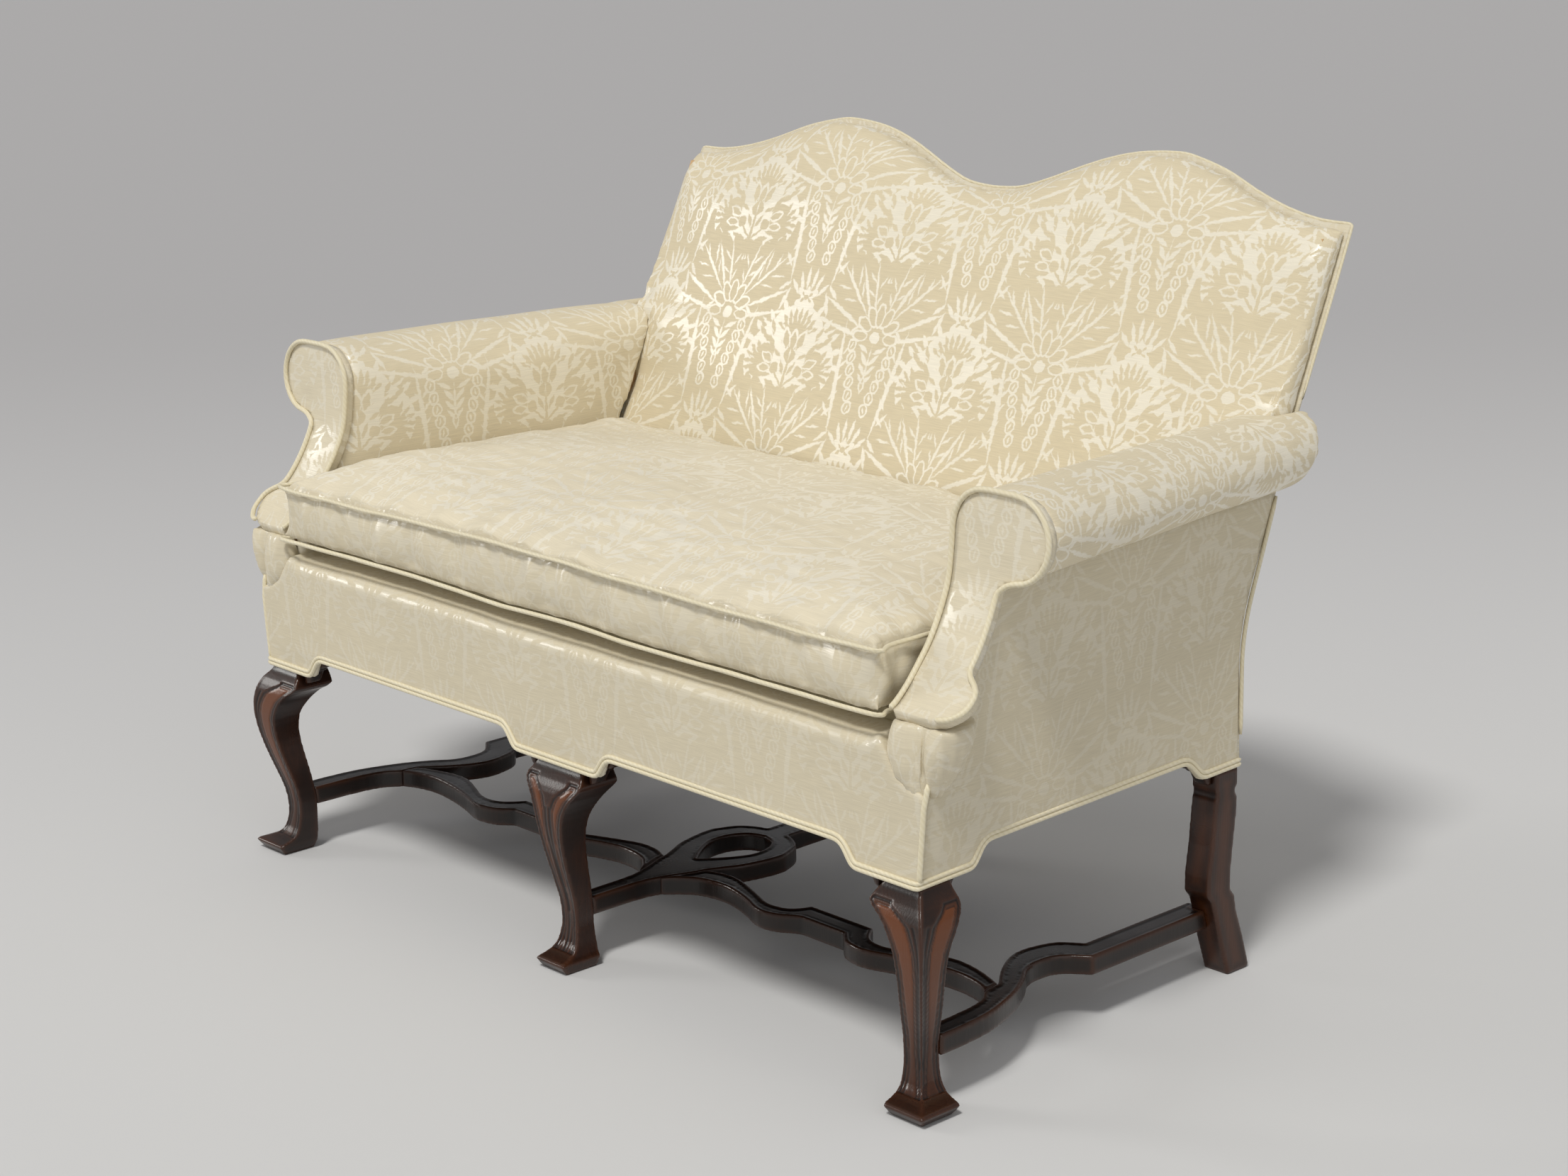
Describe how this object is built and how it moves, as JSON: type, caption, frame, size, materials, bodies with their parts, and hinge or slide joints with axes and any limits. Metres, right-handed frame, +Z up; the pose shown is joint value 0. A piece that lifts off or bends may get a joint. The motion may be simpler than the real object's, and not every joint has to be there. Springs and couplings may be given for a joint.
{
  "type": "settee",
  "caption": "Upholstered settee with a double-hump back, rolled arms over cone scrolls, a loose seat cushion, cabriole front legs and flat shaped stretchers.",
  "frame": {"origin": "on the floor under the middle of the whole settee's bounding box", "axes": "+X to the right seen from the front, +Y from the front to the back, +Z up"},
  "size_m": [1.3904, 0.8112, 0.9406],
  "materials": {
    "walnut": "dark polished walnut, rubbed lighter on the edges",
    "beech": "bare planed beech",
    "damask": "cream silk damask with a matte tan pattern",
    "piping": "cream covered cord",
    "jute": "plain woven jute",
    "black_cloth": "thin black bottoming cloth",
    "steel": "plain steel screws"
  },
  "bodies": {
    "frame": {"front_leg_left": "walnut", "front_leg_centre": "walnut", "front_leg_right": "walnut", "rear_leg_left": "walnut", "rear_leg_centre": "walnut", "rear_leg_right": "walnut", "side_stretcher_left": "walnut", "side_stretcher_right": "walnut", "cross_stretcher_left": "walnut", "cross_stretcher_right": "walnut", "centre_stretcher": "walnut", "leg_brackets": "walnut", "front_rail": "beech", "rear_rail": "beech", "side_rail_left": "beech", "side_rail_right": "beech", "centre_rail": "beech", "corner_blocks": "beech", "block_screws": "steel", "back_post_left": "beech", "back_post_right": "beech", "back_stile": "beech", "back_top_rail": "beech", "back_stuffing_rail": "beech", "arm_post_left": "beech", "arm_post_right": "beech", "arm_rail_left": "beech", "arm_rail_right": "beech", "seat_webbing": "jute", "back_webbing": "jute", "seat_hessian": "jute", "seat_deck": "damask", "dust_cloth": "black_cloth", "front_border": "damask", "outside_arm_left": "damask", "outside_arm_right": "damask", "outside_back": "damask", "inside_back": "damask", "arm_roll_left": "damask", "arm_roll_right": "damask", "arm_facing_left": "damask", "arm_facing_right": "damask", "arm_cone_left": "damask", "arm_cone_right": "damask", "facing_piping_left": "piping", "facing_piping_right": "piping", "back_piping": "piping", "hem_welt": "piping"},
    "cushion": {"seat_cushion": "damask", "cushion_piping": "piping"}
  },
  "joints": [
    {"name": "cushion_lift", "type": "slide", "parent": "frame", "child": "cushion", "axis": [0, 0, 1], "range_m": [0, 0.26]}
  ]
}
